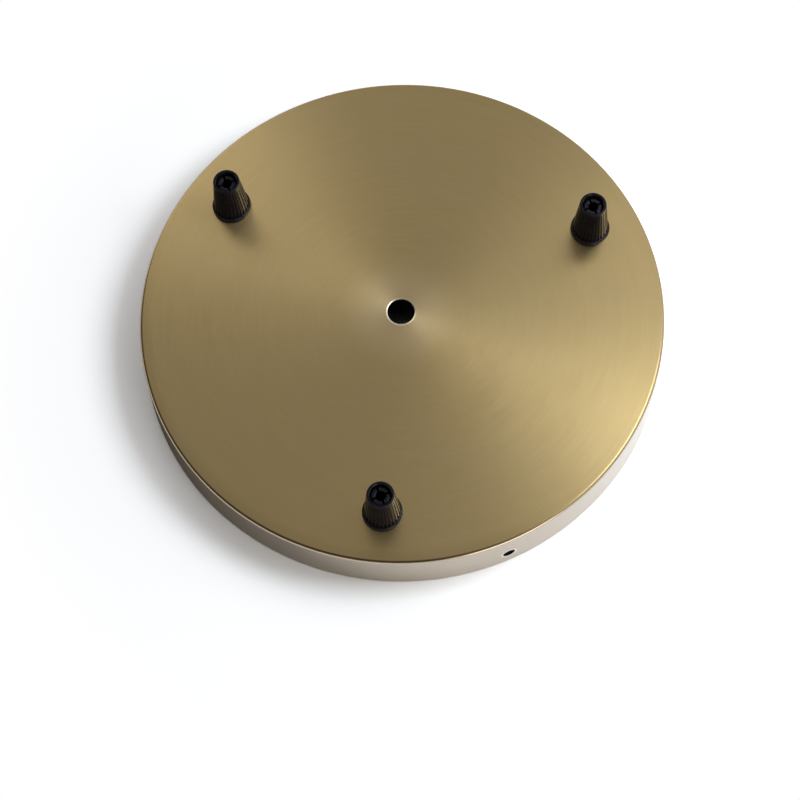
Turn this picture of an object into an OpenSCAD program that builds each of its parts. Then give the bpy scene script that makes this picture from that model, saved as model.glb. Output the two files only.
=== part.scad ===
// Ceiling canopy for three pendant cords: a spun metal pan, three screwed cord grips with
// their nuts, and the strap that holds the pan to a ceiling.
// It lies on its open rim. Z = 0 is the ceiling plane, and +Z points to the brushed face.

/* [Pan] */
// Diameter over the open rim
pan_d = 250; // [236:2:320]
// Height from the rim to the face
pan_h = 25; // [22:1:40]
// How much wider the wall is at the rim than at the face, on the radius
wall_flare = 1; // [0:0.25:3]
// Thickness of the sheet
sheet_t = 1; // [0.8:0.1:1.3]
// Outside radius of the bend between the face and the wall
corner_r = 1.5; // [1.4:0.1:3]
// Diameter of the hole in the middle of the face
centre_hole_d = 13; // [8:0.5:24]
// Diameter of the two holes in the wall
side_hole_d = 5.8; // [4.5:0.1:7]
// Height of the wall holes above the rim
side_hole_z = 9.5; // [7:0.5:11]

/* [Cord grips] */
// Distance from the outer edge of the rim to the axis of a grip
grip_inset = 25; // [20:1:70]
// Angle between a wall hole and the nearest grip
offset_angle = 28; // [20:1:40]
// Diameter of the stem that goes through the face, at the root of its thread
stem_d = 9.2; // [8.8:0.1:10.2]
// Height of the thread that is wound round the stem
thread_h = 0.4; // [0.2:0.05:0.6]
// Length of the stem below the collar
stem_l = 12; // [8:0.5:14]
// Diameter of the way for the cord through the stem
cord_way_d = 7; // [5:0.1:7.4]
// Room between the thread of the stem and the edge of its hole in the face, on the radius
stem_room = 0.2; // [0.1:0.05:0.5]
// Diameter of the collar that sits on the face
collar_d = 18.6; // [18:0.1:22]
// Height of the collar
collar_h = 2.4; // [1.6:0.1:4]
// Diameter of the round part that the cap screws onto
spigot_d = 12; // [11.4:0.1:12.6]
// Height of that round part above the face
spigot_top = 12; // [8:0.5:14]
// Diameter of the hole between the tips of the collet
clamp_d = 4.4; // [3:0.1:5.6]
// Length of the straight part of that hole
clamp_l = 2.4; // [1:0.1:4]
// Width of the slits between the fingers of the collet
slit_w = 1; // [0.6:0.1:1.6]

/* [Caps] */
// Height of the top of the cap above the face
cap_top = 25.2; // [23:0.2:30]
// Diameter of the cap at its foot
cap_foot_d = 16.8; // [16:0.1:17.8]
// Diameter of the cap at its top
cap_top_d = 12.6; // [12.3:0.1:14]
// Diameter of the mouth of the cap
mouth_d = 9.8; // [9:0.1:10.2]
// Height of the plain ring at the top of the cap
top_ring_h = 2; // [1.4:0.1:4]
// Number of flutes around the cap
flute_count = 28; // [18:1:32]
// Width of a flute at the foot of the cap
flute_w = 1.2; // [0.8:0.05:1.4]
// Depth of a flute at the foot of the cap
flute_depth = 0.5; // [0.3:0.05:0.6]
// Room on the radius between the cap and the part it turns on
turn_gap = 0.06; // [0.03:0.01:0.1]
// Room between the foot of the cap and the collar
foot_gap = 0.3; // [0.2:0.05:0.8]
// How far the tips of the collet stand below the top of the cap
tip_recess = 2.2; // [1.5:0.1:3.5]

/* [Lock nuts] */
// Width of a nut across its flats
nut_w = 14; // [13:0.5:16]
// Thickness of a nut
nut_t = 3; // [2:0.25:4]

/* [Ceiling bracket] */
// Width of the strap
strap_w = 20; // [16:1:26]
// Thickness of the strap
strap_t = 1.5; // [1:0.1:2]
// Room between the ears of the strap and the wall of the pan
ear_gap = 0.6; // [0.3:0.1:1.5]
// Metal left above the tapped hole of an ear
ear_rim = 6.5; // [5:0.5:8]
// Inside radius of the bends
bend_r = 1; // [0.5:0.1:2]
// Diameter of the tapped holes
tapped_d = 3.3; // [2.5:0.1:4]
// Length of the collar drawn out around a tapped hole
collar_out = 1.2; // [0.5:0.1:2]
// Distance between the middles of the two ceiling slots
slot_spacing = 100; // [80:2:150]
// Length of a ceiling slot from end to end
slot_l = 30; // [12:1:40]
// Width of a ceiling slot
slot_w = 5; // [4:0.1:6.5]
// Diameter of the hole that the supply cable comes through
supply_hole_d = 10.5; // [8:0.5:14]

/* [Earth terminal] */
// Distance of the earth lug from the middle of the strap
lug_x = 22; // [18:1:26]
// Width of the earth lug
lug_w = 12; // [11:1:15]
// Height of the earth screw above the ceiling plane
earth_z = 8.5; // [8:0.5:10]
// Diameter of the head of the earth screw
screw_head_d = 8; // [6.5:0.1:8.6]
// Height of the head of the earth screw
screw_head_h = 2.4; // [1.8:0.1:3.2]
// Length of the earth screw under its head
screw_l = 8; // [6:0.5:11]
// Thickness of the clamp washer
washer_t = 1; // [0.8:0.1:1.5]
// Diameter of the hole in the clamp washer
washer_hole_d = 4.3; // [4:0.1:5]

/* [Hidden] */
$fn = 96;
// Number of cord grips
grip_count = 3;
// Room on the radius between a thread and the part it screws into
thread_gap = 0.05;
// How far a cutting shape runs past the face it opens
over = 1;
// Steps in a small rounded edge
round_steps = 8;
// Chamfer at the ends of stems and bores
edge_cut = 0.6;
// Chamfer of the mouth of the cap
mouth_cut = 0.5;
// Width of a nut's round end face, as a share of its width across the flats
nut_face_share = 0.95;
// Radius of the rounded top edge of the collar
collar_round = 1;
// Radius of the rounded rim at the top of the cap
rim_round = 0.6;
// Radius of the rounded tips of the collet
tip_round = 0.9;
// Room between the collet and the taper inside the cap
collet_gap = 0.35;
// Height of the foot of the taper inside the cap, above the top of the spigot
taper_room = 1;
// Depth of the lower ends of the slits below the top of the spigot
slit_below = 2;
// Share of the flute's width and depth that is left at its upper end
flute_end_share = 0.55;
// Radius of the rounded corners of ears and lug
plate_round = 3;
// Wall of the collar drawn out around a tapped hole
drawn_wall = 1.3;
// Height of the lips folded up on two sides of the clamp washer
lip_h = 0.9;
// Thickness of those lips
lip_t = 0.8;
// Room between the head of the earth screw and the lips
lip_gap = 0.3;
// Length, width and depth of the cross recess in the earth screw
recess_l = 4.6;
recess_w = 0.9;
recess_deep = 1.3;

rim_r = pan_d / 2;
wall_lean = atan(wall_flare / pan_h);
face_r = rim_r - wall_flare;
stem_r = stem_d / 2;
cord_way_r = cord_way_d / 2;
collar_r = collar_d / 2;
spigot_r = spigot_d / 2;
clamp_r = clamp_d / 2;
foot_r = cap_foot_d / 2;
top_r = cap_top_d / 2;
mouth_r = mouth_d / 2;
cap_foot = collar_h + foot_gap;
tip_top = cap_top - tip_recess;
taper_from = spigot_top + taper_room;
mouth_from = tip_top - tip_round;
ear_top = side_hole_z + ear_rim;
washer_w = screw_head_d + 2 * (lip_gap + lip_t);
bend_out = bend_r + strap_t;
// Distance from the axis to the inside of the wall, at the height of the top of the ears
wall_at_ear = rim_r - sheet_t / cos(wall_lean) - ear_top * tan(wall_lean);
// Distance from the axis to the outside of an ear, whose corners come nearest to the wall
ear_x = sqrt(pow(wall_at_ear - ear_gap, 2) - pow(strap_w / 2, 2));
lug_top = earth_z + washer_w / 2 + edge_cut;
lug_y = strap_w / 2 + bend_out;

// Points on an arc about a centre, from one angle to another
function arc(centre, radius, from, to) =
  [for (k = [0:round_steps]) let (a = from + (to - from) * k / round_steps)
    centre + radius * [cos(a), sin(a)]];

function grip_angle(i) = 360 / grip_count * i - offset_angle;

module at_grip(i) {
  rotate(grip_angle(i))
    translate([rim_r - grip_inset, 0, pan_h])
      rotate(-grip_angle(i))
        children();
}

// Half section of the pan: the same bend centre serves the outside and the inside of the sheet
module pan_section() {
  bend = [face_r + corner_r * tan(wall_lean) - corner_r / cos(wall_lean), pan_h - corner_r];
  inner_r = corner_r - sheet_t;
  inner_rim = rim_r - sheet_t / cos(wall_lean);
  polygon(concat(
    [[0, pan_h - sheet_t]],
    arc(bend, inner_r, 90, wall_lean),
    [[inner_rim, 0], [rim_r, 0]],
    arc(bend, corner_r, wall_lean, 90),
    [[0, pan_h]]
  ));
}

module canopy_pan() {
  color("darkgoldenrod")
    difference() {
      rotate_extrude($fn = 240) pan_section();
      translate([0, 0, pan_h - sheet_t - over])
        cylinder(d = centre_hole_d, h = sheet_t + 2 * over);
      for (i = [1:grip_count])
        at_grip(i)
          translate([0, 0, -sheet_t - over])
            cylinder(r = stem_r + thread_h + stem_room, h = sheet_t + 2 * over);
      for (side = [0, 180])
        rotate(side)
          translate([rim_r - wall_flare - sheet_t - over, 0, side_hole_z])
            rotate([0, 90, 0])
              cylinder(d = side_hole_d, h = wall_flare + sheet_t + 2 * over);
    }
}

// Half section of the grip body: stem, collar, spigot and collet, around the way for the cord
module body_section() {
  tip_r = mouth_r - collet_gap;
  polygon(concat(
    [[cord_way_r, -stem_l],
     [stem_r - edge_cut, -stem_l],
     [stem_r, -stem_l + edge_cut],
     [stem_r, 0],
     [collar_r - edge_cut / 2, 0],
     [collar_r, edge_cut / 2]],
    arc([collar_r - collar_round, collar_h - collar_round], collar_round, 0, 90),
    [[spigot_r, collar_h],
     [spigot_r, spigot_top]],
    arc([tip_r - tip_round, tip_top - tip_round], tip_round, 0, 90),
    arc([clamp_r + edge_cut, tip_top - edge_cut], edge_cut, 90, 180),
    [[clamp_r, tip_top - edge_cut - clamp_l],
     [cord_way_r, spigot_top - slit_below]]
  ));
}

module grip_body() {
  slit_from = spigot_top - slit_below;
  color("black")
    difference() {
      rotate_extrude() body_section();
      for (turn = [0, 90])
        rotate(turn)
          translate([-spigot_r - over, -slit_w / 2, slit_from])
            cube([2 * (spigot_r + over), slit_w, tip_top - slit_from + over]);
    }
}

// Half section of the cap: a cone outside, and inside a bore, a taper and the mouth
module cap_section() {
  bore_r = spigot_r + turn_gap;
  polygon(concat(
    [[bore_r + edge_cut, cap_foot],
     [foot_r - edge_cut / 2, cap_foot],
     [foot_r, cap_foot + edge_cut / 2]],
    arc([top_r - rim_round, cap_top - rim_round], rim_round, 0, 90),
    [[mouth_r + mouth_cut, cap_top],
     [mouth_r, cap_top - mouth_cut],
     [mouth_r, mouth_from],
     [bore_r, taper_from],
     [bore_r, cap_foot + edge_cut]]
  ));
}

// One flute: a slender cone laid along the slope of the cap, wide and deep at the foot
module flute() {
  flute_top = cap_top - top_ring_h;
  rise = cap_top - rim_round - cap_foot;
  cap_r_there = foot_r - (foot_r - top_r) * (flute_top - cap_foot) / rise;
  stand_off = flute_w / 2 - flute_depth;
  low = [foot_r + stand_off, cap_foot];
  high = [cap_r_there + stand_off * flute_end_share, flute_top];
  lean = atan((low.x - high.x) / (high.y - low.y));
  translate([low.x, 0, low.y])
    rotate([0, -lean, 0])
      translate([0, 0, -over])
        cylinder(
          d1 = flute_w,
          d2 = flute_w * flute_end_share,
          h = norm(high - low) + over,
          $fn = 24
        );
}

module grip_cap() {
  color("black")
    difference() {
      rotate_extrude() cap_section();
      for (k = [1:flute_count])
        rotate(360 / flute_count * k) flute();
    }
}

// A hexagon nut with its corners turned off on both faces
module lock_nut() {
  corner = nut_w / 2 / cos(30);
  cut = corner - nut_w / 2 * nut_face_share;
  bottom = -sheet_t - nut_t;
  color("silver")
    difference() {
      intersection() {
        translate([0, 0, bottom]) cylinder(r = corner, h = nut_t, $fn = 6);
        translate([0, 0, bottom])
          rotate_extrude()
            polygon([
              [0, 0],
              [corner - cut, 0],
              [corner, cut * tan(30)],
              [corner, nut_t - cut * tan(30)],
              [corner - cut, nut_t],
              [0, nut_t]
            ]);
      }
      translate([0, 0, bottom - over])
        cylinder(r = stem_r + thread_gap, h = nut_t + 2 * over);
    }
}

// Side view of the strap with its two ears, one bend in from each end
module strap_section() {
  right = concat(
    arc([ear_x - bend_out, bend_out], bend_out, -90, 0),
    [[ear_x, ear_top], [ear_x - strap_t, ear_top]],
    arc([ear_x - bend_out, bend_out], bend_r, 0, -90)
  );
  left = [for (k = [len(right) - 1:-1:0]) [-right[k].x, right[k].y]];
  polygon(concat(right, left));
}

// What is cut away to round the corner of a plate that stands in the XZ plane, top right
module corner_waste(thickness) {
  rotate([90, 0, 0])
    translate([-plate_round, -plate_round, -thickness / 2 - over])
      difference() {
        cube([plate_round + over, plate_round + over, thickness + 2 * over]);
        translate([0, 0, -over]) cylinder(r = plate_round, h = thickness + 4 * over);
      }
}

// The two rounded top corners of a plate in the XZ plane
module round_top(width, top, thickness) {
  for (side = [0, 1])
    mirror([side, 0, 0])
      translate([width / 2, 0, top]) corner_waste(thickness);
}

module slot(x) {
  half = (slot_l - slot_w) / 2;
  depth = strap_t + 2 * over;
  translate([x, 0, -over]) {
    translate([-half, -slot_w / 2, 0]) cube([2 * half, slot_w, depth]);
    for (end = [-half, half])
      translate([end, 0, 0]) cylinder(d = slot_w, h = depth);
  }
}

// The lug is bent up from the long edge of the strap
module earth_lug() {
  bend = [lug_y - bend_out, bend_out];
  translate([lug_x, 0, 0])
    difference() {
      rotate([90, 0, 90])
        translate([0, 0, -lug_w / 2])
          linear_extrude(lug_w)
            polygon(concat(
              [[bend.x - over, 0]],
              arc(bend, bend_out, -90, 0),
              [[lug_y, lug_top], [lug_y - strap_t, lug_top]],
              arc(bend, bend_r, 0, -90),
              [[bend.x - over, strap_t]]
            ));
      translate([0, lug_y - strap_t / 2, 0]) round_top(lug_w, lug_top, strap_t);
    }
}

module tapped_hole_in_lug() {
  translate([lug_x, lug_y + over, earth_z])
    rotate([90, 0, 0])
      cylinder(d = tapped_d, h = strap_t + 2 * over);
}

module ceiling_bracket() {
  boss_d = tapped_d + 2 * drawn_wall;
  color("lightgray")
    difference() {
      union() {
        rotate([90, 0, 0])
          translate([0, 0, -strap_w / 2])
            linear_extrude(strap_w)
              strap_section();
        for (side = [0, 180])
          rotate(side)
            translate([ear_x - strap_t - collar_out, 0, side_hole_z])
              rotate([0, 90, 0])
                cylinder(d = boss_d, h = collar_out + strap_t / 2);
        earth_lug();
      }
      for (side = [-1, 1])
        slot(side * slot_spacing / 2);
      translate([0, 0, -over])
        cylinder(d = supply_hole_d, h = strap_t + 2 * over);
      for (side = [0, 180])
        rotate(side) {
          translate([ear_x - strap_t - collar_out - over, 0, side_hole_z])
            rotate([0, 90, 0])
              cylinder(d = tapped_d, h = strap_t + collar_out + 2 * over);
          translate([ear_x - strap_t / 2, 0, 0])
            rotate(90) round_top(strap_w, ear_top, strap_t);
        }
      tapped_hole_in_lug();
    }
}

// A pan head screw: its head is outside the washer and its end passes over the strap
module earth_screw() {
  shank_r = tapped_d / 2 - thread_gap;
  head_r = screw_head_d / 2;
  head_round = screw_head_h / 2;
  color("gold")
    translate([lug_x, lug_y + washer_t, earth_z])
      rotate([-90, 0, 0])
        difference() {
          rotate_extrude()
            polygon(concat(
              [[0, -screw_l],
               [shank_r - edge_cut / 2, -screw_l],
               [shank_r, -screw_l + edge_cut],
               [shank_r, 0],
               [head_r, 0]],
              arc([head_r - head_round, screw_head_h - head_round], head_round, 0, 90),
              [[0, screw_head_h]]
            ));
          for (turn = [0, 90])
            rotate(turn)
              translate([-recess_l / 2, -recess_w / 2, screw_head_h - recess_deep])
                cube([recess_l, recess_w, recess_deep + over]);
        }
}

// A square washer with two lips that keep the earth wire under the screw
module earth_washer() {
  color("gold")
    translate([lug_x, lug_y, earth_z])
      rotate([-90, 0, 0])
        difference() {
          union() {
            translate([-washer_w / 2, -washer_w / 2, 0])
              cube([washer_w, washer_w, washer_t]);
            for (side = [-1, 1])
              translate([side * (washer_w - lip_t) / 2 - lip_t / 2, -washer_w / 2, 0])
                cube([lip_t, washer_w, washer_t + lip_h]);
          }
          translate([0, 0, -over])
            cylinder(d = washer_hole_d, h = washer_t + 2 * over);
        }
}

canopy_pan();
for (i = [1:grip_count]) {
  at_grip(i) grip_body();
  at_grip(i) grip_cap();
  at_grip(i) lock_nut();
}
ceiling_bracket();
earth_screw();
earth_washer();
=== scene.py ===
"""Dresses the ceiling canopy: brushed brass pan, black cord grips, nuts, strap and earth terminal."""

import math

import bpy
import numpy as np
from mathutils import Matrix, Vector


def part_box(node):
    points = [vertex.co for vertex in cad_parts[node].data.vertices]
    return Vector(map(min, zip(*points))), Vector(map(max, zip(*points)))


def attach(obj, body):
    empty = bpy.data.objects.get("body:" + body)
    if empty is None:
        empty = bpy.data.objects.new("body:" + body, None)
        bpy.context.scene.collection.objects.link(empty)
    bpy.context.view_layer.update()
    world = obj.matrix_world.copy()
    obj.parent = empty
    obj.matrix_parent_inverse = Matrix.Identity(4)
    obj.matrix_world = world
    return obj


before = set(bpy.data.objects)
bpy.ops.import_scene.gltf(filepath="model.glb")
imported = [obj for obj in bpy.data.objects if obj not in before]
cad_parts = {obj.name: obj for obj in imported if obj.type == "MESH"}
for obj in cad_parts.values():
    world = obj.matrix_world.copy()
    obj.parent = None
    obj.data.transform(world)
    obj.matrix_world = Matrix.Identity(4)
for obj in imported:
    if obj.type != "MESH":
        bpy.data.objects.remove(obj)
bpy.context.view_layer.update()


# The camera stands about 0.9 m away, high on the side of the wall hole, so that the brushed face
# is seen almost flat with a thin crescent of wall under it. It is turned a little on its axis.

camera_place = Vector((0.35216, -0.12540, 0.85292))
to_the_right = Vector((0.39243, 0.91935, -0.02833)).normalized()
towards_it = Vector((-0.34915, 0.12040, -0.92930)).normalized()
to_the_top = to_the_right.cross(towards_it).normalized()

camera_data = bpy.data.cameras.new("camera")
camera_data.lens = 86.4
camera_data.sensor_width = 36
camera = bpy.data.objects.new("camera", camera_data)
bpy.context.scene.collection.objects.link(camera)
camera.matrix_world = Matrix.Translation(camera_place) @ Matrix(
    (to_the_right, to_the_top, -towards_it)
).transposed().to_4x4()
bpy.context.scene.camera = camera


# The pan is one sheet of brass, spun over a former. Its face is brushed round and round on a lathe
# and darkened to an antique tone, its wall is polished, and the inside keeps the dull spun finish.

FACE_HEIGHT = 0.025
FACE_RADIUS = 0.124
CORNER_REACH = 0.0009
WALL_LEAN = 0.04
WALL_FOOT_RADIUS = 0.125
HALF_SHEET = 0.0005
CENTRE_HOLE_RADIUS = 0.0065
SIDE_HOLE_RADIUS = 0.0029
SIDE_HOLE_HEIGHT = 0.0095

FACE_TONES = (0.528, 0.389, 0.176), (0.562, 0.417, 0.194)
FACE_RING_TONE = (0.47, 0.343, 0.150)
FACE_CLOUD_TONE = (0.50, 0.380, 0.190)
FACE_MIDDLE_HIGHLIGHT_TONE = (0.66, 0.51, 0.28)
FACE_SPECK_TONE = (0.30, 0.215, 0.100)
HOLE_RIM_HIGHLIGHT_TONE = (0.88, 0.78, 0.58)
# Painted shade: the colour of the dark line at the face's corner.
CORNER_PAINTED_DARK_TONE = (0.15, 0.100, 0.045)
WALL_TONES = (0.48, 0.385, 0.265), (0.52, 0.420, 0.300)
SIDE_HOLE_RIM_HIGHLIGHT_TONE = (0.92, 0.83, 0.66)
SIDE_HOLE_CUT_SHADOW_TONE = (0.05, 0.035, 0.025)
INSIDE_TONES = (0.38, 0.275, 0.120), (0.52, 0.395, 0.190)
INSIDE_RING_TONE = (0.30, 0.215, 0.095)


def blank_finish(name):
    """A new material, its node tree and its surface shader."""
    material = bpy.data.materials.new(name)
    material.use_nodes = True
    return material, material.node_tree, material.node_tree.nodes["Principled BSDF"]


def step(tree, kind, sockets, **settings):
    """Adds one shader node: sockets gives each input a number, a colour or another node's output."""
    made = tree.nodes.new(kind)
    for name, setting in settings.items():
        setattr(made, name, setting)
    for name, given in sockets.items():
        if isinstance(given, bpy.types.NodeSocket):
            tree.links.new(given, made.inputs[name])
        else:
            made.inputs[name].default_value = given
    return made


def sums(tree, operation, *values):
    """A Math node: the operation on one, two or three values."""
    return step(tree, "ShaderNodeMath", dict(enumerate(values)), operation=operation).outputs[0]


def across(tree, first, second):
    """The length of a flat step: the root of the sum of the two squares."""
    squares = [sums(tree, "MULTIPLY", side, side) for side in (first, second)]
    return sums(tree, "SQRT", sums(tree, "ADD", *squares))


def chosen(tree, share, first, second):
    """The first value where the share is 0 and the second where it is 1."""
    rest = sums(tree, "SUBTRACT", 1.0, share)
    return sums(tree, "ADD", sums(tree, "MULTIPLY", second, share), sums(tree, "MULTIPLY", first, rest))


def fade(tree, value, start, end, low=0.0, high=1.0):
    """Goes smoothly from low, where the value is start, to high, where it is end."""
    sockets = {"Value": value, "From Min": start, "From Max": end, "To Min": low, "To Max": high}
    return step(tree, "ShaderNodeMapRange", sockets, interpolation_type="SMOOTHSTEP").outputs[0]


def blended(tree, share, first, second):
    """The first colour where the share is 0 and the second where it is 1."""
    mixer = tree.nodes.new("ShaderNodeMix")
    mixer.data_type = "RGBA"
    factor, under, over = mixer.inputs[0], mixer.inputs[6], mixer.inputs[7]
    tree.links.new(share, factor)
    for socket, given in ((under, first), (over, second)):
        if isinstance(given, bpy.types.NodeSocket):
            tree.links.new(given, socket)
        else:
            socket.default_value = (*given, 1.0)
    return mixer.outputs[2]


def grain(tree, where, scale, detail=2.0, roughness=0.5):
    """Cloudy noise from 0 to 1 over the given coordinates."""
    sockets = {"Vector": where, "Scale": scale, "Detail": detail, "Roughness": roughness}
    return step(tree, "ShaderNodeTexNoise", sockets).outputs["Fac"]


def raised(tree, height, distance, strength, under=None):
    """Turns a height from 0 to 1 into bumps that are so many metres high."""
    sockets = {"Height": height, "Distance": distance, "Strength": strength}
    if under is not None:
        sockets["Normal"] = under
    return step(tree, "ShaderNodeBump", sockets).outputs["Normal"]


def from_camera_frame(right, far, up):
    """A direction given as right and far in the picture and up, turned into the part's own frame."""
    turn = math.radians(70.4)
    x = right * math.cos(turn) - far * math.sin(turn)
    y = right * math.sin(turn) + far * math.cos(turn)
    return Vector((x, y, up)).normalized()


# The side of the face, front left in the picture, where the painted shade at the corner is strongest.
PAINTED_SHADE_SIDE = from_camera_frame(-0.64, -0.77, 0.0)


def brass_pan_finish():
    """Lathe brushed face, polished wall and spun inside, told apart by height and radius."""
    material, tree, surface = blank_finish("antique_brushed_brass")
    here = step(tree, "ShaderNodeTexCoord", {}).outputs["Object"]
    x, y, z = step(tree, "ShaderNodeSeparateXYZ", {"Vector": here}).outputs
    radius = across(tree, x, y)
    out_x, out_y = (sums(tree, "DIVIDE", side, sums(tree, "MAXIMUM", radius, 0.001)) for side in (x, y))

    is_face = fade(tree, z, FACE_HEIGHT - CORNER_REACH, FACE_HEIGHT - CORNER_REACH / 3)
    lean = sums(tree, "MULTIPLY", z, WALL_LEAN)
    middle_of_sheet = sums(tree, "SUBTRACT", WALL_FOOT_RADIUS - HALF_SHEET, lean)
    is_wall = fade(tree, sums(tree, "SUBTRACT", radius, middle_of_sheet), -0.0002, 0.0002)

    def brush_marks(per_metre, turns):
        """Streaks that run round the axis: noise over the radius and the bearing."""
        around = step(tree, "ShaderNodeCombineXYZ", {
            "X": sums(tree, "MULTIPLY", radius, per_metre),
            "Y": sums(tree, "MULTIPLY", out_x, turns),
            "Z": sums(tree, "MULTIPLY", out_y, turns),
        }).outputs[0]
        return grain(tree, around, 1.0, 3.0, 0.6)

    fine = brush_marks(3200.0, 5.0)
    broad = brush_marks(420.0, 2.5)
    clouds = grain(tree, here, 22.0, 3.0, 0.55)
    specks = grain(tree, here, 700.0, 2.0, 0.6)

    # The face: streaks, soft clouds, a painted highlight in the middle, specks, and a painted highlight
    # on the hole's rim.
    face = blended(tree, fade(tree, fine, 0.3, 0.7), *FACE_TONES)
    face = blended(tree, fade(tree, broad, 0.35, 0.65, 0.0, 0.18), face, FACE_RING_TONE)
    face = blended(tree, fade(tree, clouds, 0.4, 0.7, 0.0, 0.4), face, FACE_CLOUD_TONE)
    # Painted highlight: the middle of the face is lighter, out to about 32 mm from the axis.
    face = blended(tree, fade(tree, radius, 0.032, 0.010, 0.0, 0.78), face, FACE_MIDDLE_HIGHLIGHT_TONE)
    face = blended(tree, fade(tree, specks, 0.70, 0.78, 0.0, 0.3), face, FACE_SPECK_TONE)
    # Painted highlight: a light ring round the centre hole stands in for the light on its rolled edge.
    painted_hole_rim_highlight = fade(tree, radius, CENTRE_HOLE_RADIUS + 0.0009, CENTRE_HOLE_RADIUS + 0.0005)
    face = blended(tree, painted_hole_rim_highlight, face, HOLE_RIM_HIGHLIGHT_TONE)

    # Painted shade: a thin dark line and a soft darker band at the face's corner stand in for the dark
    # reflection in the corner's rounding, strong on the front left side and faint elsewhere.
    towards_painted_shade_side = sums(tree, "ADD", sums(tree, "MULTIPLY", out_x, PAINTED_SHADE_SIDE.x),
                           sums(tree, "MULTIPLY", out_y, PAINTED_SHADE_SIDE.y))
    painted_shade_share = fade(tree, towards_painted_shade_side, 0.20, 0.66, 0.12, 0.85)
    painted_dark_corner_line = fade(tree, radius, FACE_RADIUS - 0.0017, FACE_RADIUS - 0.0011)
    painted_corner_shade = fade(tree, radius, FACE_RADIUS - 0.008, FACE_RADIUS - 0.002, 0.0, 0.16)
    painted_corner_dark = sums(tree, "MAXIMUM", sums(tree, "MULTIPLY", painted_shade_share, painted_dark_corner_line),
                  sums(tree, "MULTIPLY", painted_shade_share, painted_corner_shade))
    face = blended(tree, painted_corner_dark, face, CORNER_PAINTED_DARK_TONE)

    # The wall, with a painted highlight round its two side holes and painted shadow on their cut edges,
    # and the inside.
    wall = blended(tree, fade(tree, clouds, 0.35, 0.7), *WALL_TONES)
    from_hole = across(tree, y, sums(tree, "SUBTRACT", z, SIDE_HOLE_HEIGHT))
    # Painted highlight: a light ring round each side hole.
    painted_side_rim_highlight = fade(tree, from_hole, SIDE_HOLE_RADIUS + 0.0011, SIDE_HOLE_RADIUS + 0.0007)
    wall = blended(tree, painted_side_rim_highlight, wall, SIDE_HOLE_RIM_HIGHLIGHT_TONE)
    inside = blended(tree, fade(tree, clouds, 0.3, 0.7), *INSIDE_TONES)
    inside_rings = fade(tree, brush_marks(900.0, 1.5), 0.40, 0.62, 0.0, 0.45)
    inside = blended(tree, inside_rings, inside, INSIDE_RING_TONE)
    colour = blended(tree, is_face, inside, face)
    colour = blended(tree, is_wall, colour, wall)
    # Painted shadow: the cut edge of each side hole is nearly black.
    painted_side_cut_shadow = fade(tree, from_hole, SIDE_HOLE_RADIUS + 0.0002, SIDE_HOLE_RADIUS)
    colour = blended(tree, painted_side_cut_shadow, colour, SIDE_HOLE_CUT_SHADOW_TONE)
    tree.links.new(colour, surface.inputs["Base Color"])

    face_sheen = sums(tree, "ADD", fade(tree, fine, 0.3, 0.7, 0.301, 0.329),
                      fade(tree, clouds, 0.35, 0.7, -0.01, 0.02))
    wall_sheen = fade(tree, clouds, 0.35, 0.7, 0.20, 0.26)
    inside_sheen = 0.42
    sheen = chosen(tree, is_wall, chosen(tree, is_face, inside_sheen, face_sheen), wall_sheen)
    tree.links.new(sheen, surface.inputs["Roughness"])

    marks = chosen(tree, is_face, brush_marks(700.0, 1.2), fine)
    normal = raised(tree, marks, 0.00001, 0.38)
    rolled_edge = fade(tree, radius, CENTRE_HOLE_RADIUS, CENTRE_HOLE_RADIUS + 0.0006)
    normal = raised(tree, rolled_edge, 0.0002, 0.8, normal)
    tree.links.new(normal, surface.inputs["Normal"])

    tree.links.new(is_wall, surface.inputs["Coat Weight"])
    surface.inputs["Coat Roughness"].default_value = 0.12
    surface.inputs["Metallic"].default_value = 1.0
    surface.inputs["Anisotropic"].default_value = 0.6
    outwards = step(tree, "ShaderNodeCombineXYZ", {"X": out_x, "Y": out_y, "Z": 0.0}).outputs[0]
    tree.links.new(outwards, surface.inputs["Tangent"])
    return material


def dress(names, finish):
    """Gives one finish to each of the named solids."""
    for name in names:
        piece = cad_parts[name]
        piece.data.materials.clear()
        piece.data.materials.append(finish)


dress(["canopy_pan"], brass_pan_finish())


# The grips are moulded in black nylon: a body with a collar and a slotted collet, and a fluted cap.
# The mould leaves a fine satin skin, which handling has made a little glossier on the caps.

NYLON_TONES = (0.0105, 0.0086, 0.0118), (0.0145, 0.0122, 0.0158)
DUST_TONE = (0.05, 0.047, 0.045)
NYLON_SHINE_TINT = (0.92, 0.88, 1.0, 1.0)
GRIP_NUMBERS = (1, 2, 3)


def black_nylon(name, roughness, refraction):
    """Moulded black plastic with a fine satin skin, faint flow marks and a little dust."""
    material, tree, surface = blank_finish(name)
    here = step(tree, "ShaderNodeTexCoord", {}).outputs["Object"]
    skin = grain(tree, here, 2600.0, 2.0, 0.6)
    flow = grain(tree, here, 160.0, 3.0, 0.5)
    dust = grain(tree, here, 1500.0, 1.0, 0.5)
    colour = blended(tree, fade(tree, flow, 0.35, 0.7), *NYLON_TONES)
    colour = blended(tree, fade(tree, dust, 0.72, 0.80, 0.0, 0.25), colour, DUST_TONE)
    tree.links.new(colour, surface.inputs["Base Color"])
    sheen = sums(tree, "ADD", fade(tree, flow, 0.35, 0.7, roughness - 0.04, roughness + 0.05),
                 fade(tree, skin, 0.3, 0.7, -0.02, 0.03))
    tree.links.new(sheen, surface.inputs["Roughness"])
    tree.links.new(raised(tree, skin, 0.00002, 0.35), surface.inputs["Normal"])
    surface.inputs["IOR"].default_value = refraction
    surface.inputs["Specular Tint"].default_value = NYLON_SHINE_TINT
    return material


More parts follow.
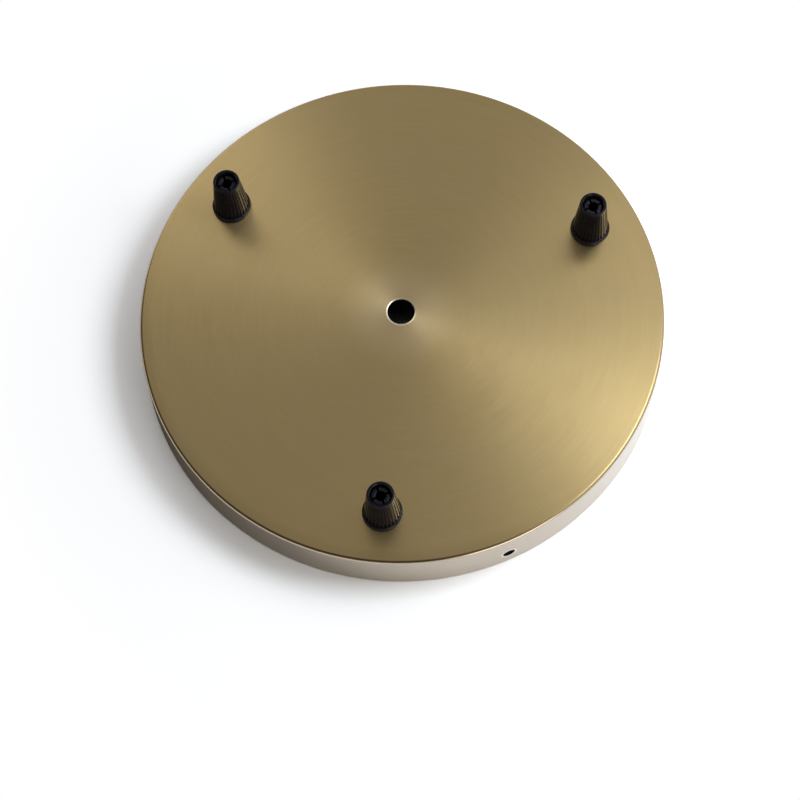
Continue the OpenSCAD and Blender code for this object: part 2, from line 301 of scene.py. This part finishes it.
cap_finish = black_nylon("black_nylon_cap", 0.17, 1.25)
body_finish = black_nylon("black_nylon_body", 0.18, 1.30)
dress([f"grip_cap_{number}" for number in GRIP_NUMBERS], cap_finish)
dress([f"grip_body_{number}" for number in GRIP_NUMBERS], body_finish)


# The stems carry a moulded thread. It is a ridge wound round the stem, with a flat crest, which
# fades out at both ends of the stem and passes through the nut.

GRIP_RING_RADIUS = 0.1
GRIP_BEARINGS = (92, 212, 332)
STEM_TOP = 0.0238
STEM_END = 0.0134
STEM_RADIUS = 0.0046
STEM_THREAD_HEIGHT = 0.0004
STEM_THREAD_PITCH = 0.0015
ROOT_SINK = 0.00002
STEPS_PER_TURN = 40


def thread_ridge(name, centre, axis, root, crest, pitch, start, end, body, finish):
    """A trapezoid carried along a helix, in the frame that axis gives.

    At turn angle t it lies at start + pitch * t / 2 pi along the axis. Its height grows from
    nothing over the first half turn and shrinks over the last, and its two ends are closed.
    """
    turns = (end - start) / pitch
    angle = np.linspace(0.0, 2 * math.pi * turns, int(STEPS_PER_TURN * turns) + 1)[:, None]
    grown = np.clip(np.minimum(angle, angle[-1] - angle) / math.pi, 0.02, 1.0)
    along = np.array([-0.40, -0.10, 0.10, 0.40])[None, :] * pitch
    out = np.array([0.0, 1.0, 1.0, 0.0])[None, :] * (crest - root)
    radius = root - ROOT_SINK + out * grown
    height = start + pitch * angle / (2 * math.pi) + along * (0.3 + 0.7 * grown)
    lying = np.stack([radius * np.cos(angle), radius * np.sin(angle), height], axis=-1)
    points = lying @ np.array(axis) + centre
    index = np.arange(angle.size * along.size).reshape(-1, along.size)
    beside = np.roll(index, -1, axis=1)
    sides = np.stack([index[:-1], index[1:], beside[1:], beside[:-1]], axis=-1).reshape(-1, 4)
    quads = np.concatenate([sides, index[:1], index[-1:, ::-1]])
    mesh = bpy.data.meshes.new(name)
    mesh.from_pydata(points.reshape(-1, 3).tolist(), [], quads.tolist())
    mesh.polygons.foreach_set("use_smooth", np.ones(len(mesh.polygons), bool))
    mesh.materials.append(finish)
    ridge = bpy.data.objects.new(name, mesh)
    bpy.context.scene.collection.objects.link(ridge)
    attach(ridge, body)


upright = ((1.0, 0.0, 0.0), (0.0, 1.0, 0.0), (0.0, 0.0, 1.0))
for number, bearing in zip(GRIP_NUMBERS, map(math.radians, GRIP_BEARINGS)):
    middle = np.array([math.cos(bearing), math.sin(bearing), 0.0]) * GRIP_RING_RADIUS
    thread_ridge(f"stem_thread_{number}", middle, upright, STEM_RADIUS, STEM_RADIUS + STEM_THREAD_HEIGHT,
                 STEM_THREAD_PITCH, STEM_END, STEM_TOP, "canopy", body_finish)


# The lock nuts and the strap are pressed and cut from steel sheet, then plated with zinc. The plating
# is grey with a blue cast, a little cloudy, and bright where the tools rubbed it.

ZINC_TONES = (0.50, 0.515, 0.52), (0.66, 0.67, 0.665)
ZINC_SPOT_TONE = (0.40, 0.40, 0.39)


def zinc_plate():
    """Bright zinc on steel, with soft clouds, fine rolling marks and dull spots."""
    material, tree, surface = blank_finish("zinc_plate")
    here = step(tree, "ShaderNodeTexCoord", {}).outputs["Object"]
    clouds = grain(tree, here, 90.0, 4.0, 0.6)
    stretched = step(tree, "ShaderNodeMapping", {"Vector": here, "Scale": (60.0, 2200.0, 900.0)})
    rolling = grain(tree, stretched.outputs[0], 1.0, 2.0, 0.6)
    spots = grain(tree, here, 520.0, 2.0, 0.5)
    colour = blended(tree, fade(tree, clouds, 0.3, 0.7), *ZINC_TONES)
    colour = blended(tree, fade(tree, spots, 0.62, 0.75, 0.0, 0.5), colour, ZINC_SPOT_TONE)
    tree.links.new(colour, surface.inputs["Base Color"])
    sheen = sums(tree, "ADD", fade(tree, clouds, 0.3, 0.7, 0.42, 0.28),
                 fade(tree, rolling, 0.3, 0.7, -0.03, 0.05))
    tree.links.new(sheen, surface.inputs["Roughness"])
    tree.links.new(raised(tree, rolling, 0.00001, 0.5), surface.inputs["Normal"])
    surface.inputs["Metallic"].default_value = 1.0
    return material


dress(["lock_nut_1", "lock_nut_2", "lock_nut_3", "ceiling_bracket"], zinc_plate())


# The earth screw and its clamp washer are turned and pressed from plain brass, so that they don't
# corrode. The screw's thread shows on both sides of the lug.

SCREW_AXIS_X = 0.022
SCREW_AXIS_Z = 0.0085
LUG_FACE = 0.0125
SCREW_ROOT = 0.0016
SCREW_CREST = 0.00198
SCREW_PITCH = 0.0007
SCREW_THREAD_START = 0.0016
SCREW_PLAIN_END = 0.0006
BRASS_TONES = (0.80, 0.60, 0.27), (0.62, 0.43, 0.18)


def plain_brass():
    """Bright brass with turning marks, darker in patches where hands have touched it."""
    material, tree, surface = blank_finish("plain_brass")
    here = step(tree, "ShaderNodeTexCoord", {}).outputs["Object"]
    patches = grain(tree, here, 260.0, 3.0, 0.6)
    fine = grain(tree, here, 4200.0, 2.0, 0.5)
    colour = blended(tree, fade(tree, patches, 0.35, 0.7), *BRASS_TONES)
    tree.links.new(colour, surface.inputs["Base Color"])
    tree.links.new(fade(tree, patches, 0.35, 0.7, 0.22, 0.38), surface.inputs["Roughness"])
    tree.links.new(raised(tree, fine, 0.00001, 0.4), surface.inputs["Normal"])
    surface.inputs["Metallic"].default_value = 1.0
    return material


brass = plain_brass()
dress(["earth_screw", "earth_washer"], brass)
screw_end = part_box("earth_screw")[0].y
inwards = ((1.0, 0.0, 0.0), (0.0, 0.0, 1.0), (0.0, -1.0, 0.0))
thread_ridge("screw_thread", np.array([SCREW_AXIS_X, LUG_FACE, SCREW_AXIS_Z]), inwards,
             SCREW_ROOT, SCREW_CREST, SCREW_PITCH, SCREW_THREAD_START,
             LUG_FACE - screw_end - SCREW_PLAIN_END, "canopy", brass)


# The studio is a matt floor, four soft lamps and a room that is dark at the front left and bright at
# the back right. The camera sees a white ground with the object's shadow on it. The polished wall
# The polished wall mirrors the floor beside it, whose colour in reflections is painted shade, brown, at
# the front left and painted light, white, at the front right.

WHITE = (1.0, 1.0, 1.0)
DAYLIGHT = (0.88, 0.94, 1.0)
FLOOR_HALF_WIDTH = 30.0
FLOOR_HEIGHT = -0.0001
LIT_FLOOR = (0.85, 0.85, 0.85)
SEEN_FLOOR = (1.8, 1.8, 1.8)
MIRRORED_LEFT_PAINTED_SHADE = (0.35, 0.30, 0.23)
MIRRORED_RIGHT_PAINTED_LIGHT = (1.47, 1.47, 1.47)
FLOOR_RIGHT = from_camera_frame(1.0, -0.45, 0.0)
BRIGHT_SIDE = from_camera_frame(0.55, 0.50, 0.67)

floor_mesh = bpy.data.meshes.new("floor")
square = np.array([(-1, -1, 0), (1, -1, 0), (1, 1, 0), (-1, 1, 0)])
corners = square * FLOOR_HALF_WIDTH + (0, 0, FLOOR_HEIGHT)
floor_mesh.from_pydata(corners.tolist(), [], [(0, 1, 2, 3)])
floor = bpy.data.objects.new("floor", floor_mesh)
bpy.context.scene.collection.objects.link(floor)
floor_finish, floor_tree, _ = blank_finish("pale_floor")
matt = step(floor_tree, "ShaderNodeBsdfDiffuse", {})
glowing = step(floor_tree, "ShaderNodeEmission", {"Color": (*WHITE, 1.0), "Strength": 1.0})
seen_by = step(floor_tree, "ShaderNodeLightPath", {}).outputs
seen = sums(floor_tree, "MAXIMUM", seen_by["Is Camera Ray"], seen_by["Is Transmission Ray"])
shown = sums(floor_tree, "MAXIMUM", seen, seen_by["Is Glossy Ray"])
floor_place = step(floor_tree, "ShaderNodeTexCoord", {}).outputs["Object"]
to_its_right = step(floor_tree, "ShaderNodeVectorMath", {0: floor_place, 1: FLOOR_RIGHT},
                    operation="DOT_PRODUCT").outputs["Value"]
# Painted shade and light: glossy rays see the floor brown at the front left and bright white at the front
# right.
mirrored_painted_shade_and_light = blended(floor_tree, fade(floor_tree, to_its_right, -0.11, 0.08), MIRRORED_LEFT_PAINTED_SHADE, MIRRORED_RIGHT_PAINTED_LIGHT)
colour = blended(floor_tree, seen, LIT_FLOOR, SEEN_FLOOR)
colour = blended(floor_tree, seen_by["Is Glossy Ray"], colour, mirrored_painted_shade_and_light)
floor_tree.links.new(colour, matt.inputs["Color"])
away_from_it = step(floor_tree, "ShaderNodeVectorMath", {0: floor_place},
                    operation="LENGTH").outputs["Value"]
share = sums(floor_tree, "MULTIPLY", shown, fade(floor_tree, away_from_it, 0.13, 0.22))
backdrop = step(floor_tree, "ShaderNodeMixShader", {0: share, 1: matt.outputs[0], 2: glowing.outputs[0]})
floor_tree.links.new(backdrop.outputs[0], floor_tree.nodes["Material Output"].inputs["Surface"])
floor_mesh.materials.append(floor_finish)

room = bpy.data.worlds.new("room")
room.use_nodes = True
room_tree = room.node_tree
towards = step(room_tree, "ShaderNodeTexCoord", {}).outputs["Generated"]
facing = step(room_tree, "ShaderNodeVectorMath", {0: towards, 1: BRIGHT_SIDE},
              operation="DOT_PRODUCT").outputs["Value"]
graded = fade(room_tree, facing, 0.25, 1.0, 0.10, 0.48)
seen_by = step(room_tree, "ShaderNodeLightPath", {}).outputs
mirrored_or_through = sums(room_tree, "MAXIMUM", seen_by["Is Glossy Ray"], seen_by["Is Transmission Ray"])
shown = sums(room_tree, "MAXIMUM", seen_by["Is Camera Ray"], mirrored_or_through)
height = step(room_tree, "ShaderNodeSeparateXYZ", {"Vector": towards}).outputs["Z"]
near_horizon = sums(room_tree, "MULTIPLY", shown, fade(room_tree, height, 0.27, 0.21))
brightness = chosen(room_tree, near_horizon, graded, 1.0)
room_tree.links.new(brightness, room_tree.nodes["Background"].inputs["Strength"])
room_tree.nodes["Background"].inputs["Color"].default_value = (1.0, 1.0, 1.01, 1.0)
bpy.context.scene.world = room


def soft_lamp(name, bearing, elevation, distance, size, power, colour):
    """A square lamp that points at the middle of the face; bearing counts from the picture's right."""
    turn, rise = math.radians(bearing), math.radians(elevation)
    level = math.cos(rise)
    away = from_camera_frame(math.cos(turn) * level, math.sin(turn) * level, math.sin(rise))
    lamp_data = bpy.data.lights.new(name, "AREA")
    lamp_data.shape = "SQUARE"
    lamp_data.size = size
    lamp_data.energy = power
    lamp_data.color = colour
    lamp = bpy.data.objects.new(name, lamp_data)
    bpy.context.scene.collection.objects.link(lamp)
    lamp.location = away * distance + Vector((0, 0, FACE_HEIGHT))
    lamp.rotation_euler = away.to_track_quat("Z", "Y").to_euler()


soft_lamp("key_lamp", 0, 55, 0.7, 0.3, 1.84, DAYLIGHT)
soft_lamp("side_panel", 38, 50, 0.7, 0.4, 0.34, DAYLIGHT)
soft_lamp("back_lamp", 120, 39, 0.7, 0.3, 0.33, WHITE)
soft_lamp("low_panel", -62, 14, 0.8, 0.4, 1.20, WHITE)
bpy.context.scene.view_settings.view_transform = "Standard"
